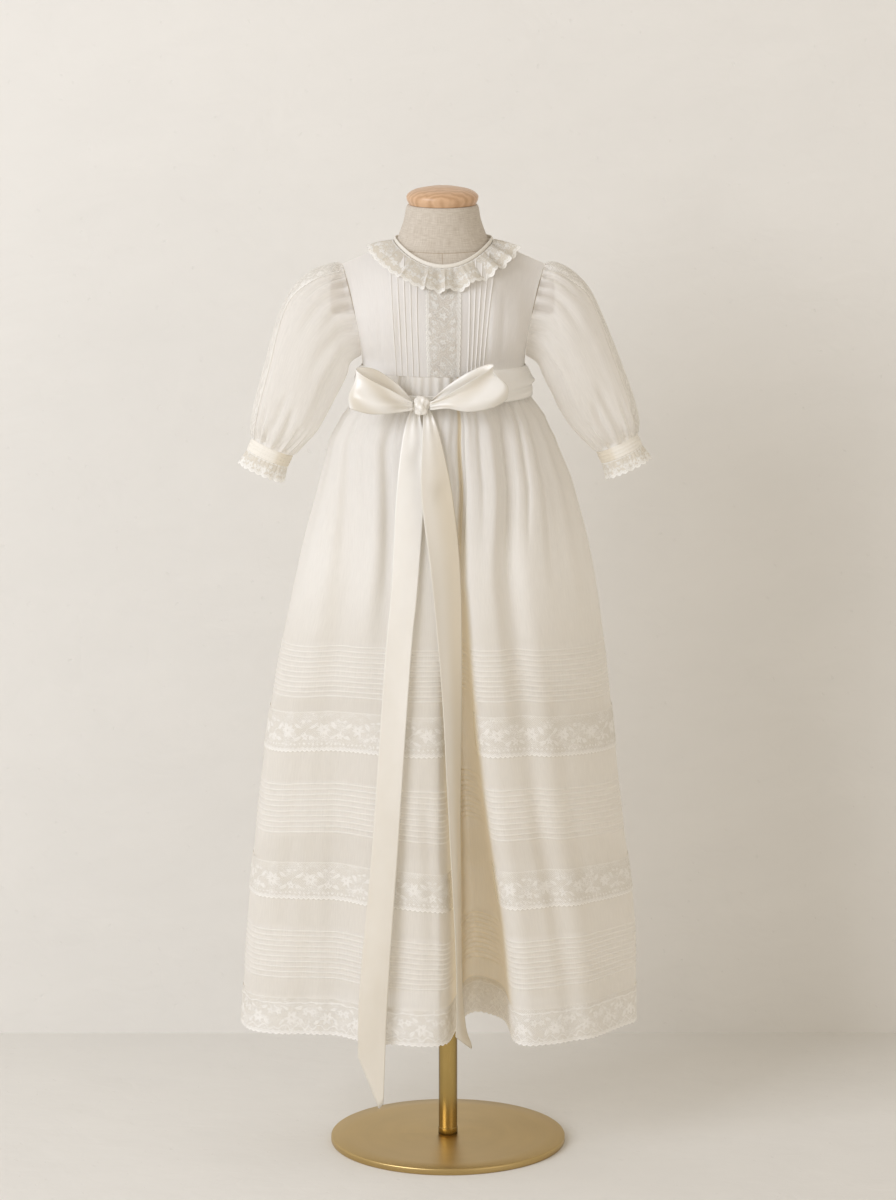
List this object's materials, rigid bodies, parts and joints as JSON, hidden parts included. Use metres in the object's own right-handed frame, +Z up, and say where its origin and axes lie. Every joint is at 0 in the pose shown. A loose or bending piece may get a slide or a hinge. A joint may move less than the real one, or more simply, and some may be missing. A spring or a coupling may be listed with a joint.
{
  "type": "christening gown on a dress form",
  "caption": "Long ivory christening gown with tucked and lace-banded skirt, puffed sleeves and a satin bow, on a limbless dress form with a brass stand.",
  "frame": {"origin": "middle of the underside of the stand's round base", "axes": "+Z up along the pole, -Y to the front of the gown, +X to the right as seen from the front"},
  "size_m": [0.4157, 0.24, 0.984],
  "materials": {
    "brushed_brass": "brushed, satin",
    "natural_linen": "matt woven linen",
    "light_wood": "satin varnish",
    "ivory_organza": "sheer, soft",
    "ivory_lace": "matt lace",
    "ivory_satin": "satin sheen",
    "pearl": "soft pearl gloss"
  },
  "bodies": {
    "root": {"base_plate": "brushed_brass", "pole": "brushed_brass", "form_torso": "natural_linen", "form_neck_cap": "light_wood", "bodice_front": "ivory_organza", "bodice_back_left": "ivory_organza", "bodice_back_right": "ivory_organza", "button_1": "pearl", "button_2": "pearl", "button_3": "pearl", "lace_panel": "ivory_lace", "neck_binding": "ivory_organza", "collar_ruffle": "ivory_lace", "sleeve_left": "ivory_organza", "sleeve_right": "ivory_organza", "sleeve_lace_left": "ivory_lace", "sleeve_lace_right": "ivory_lace", "cuff_left": "ivory_organza", "cuff_right": "ivory_organza", "cuff_lace_left": "ivory_lace", "cuff_lace_right": "ivory_lace", "skirt_front": "ivory_organza", "skirt_back": "ivory_organza", "lace_band_upper": "ivory_lace", "lace_band_lower": "ivory_lace", "hem_lace": "ivory_lace", "sash": "ivory_satin", "bow_loop_left": "ivory_satin", "bow_loop_right": "ivory_satin", "bow_knot": "ivory_satin", "tail_left": "ivory_satin", "tail_right": "ivory_satin"}
  },
  "joints": []
}
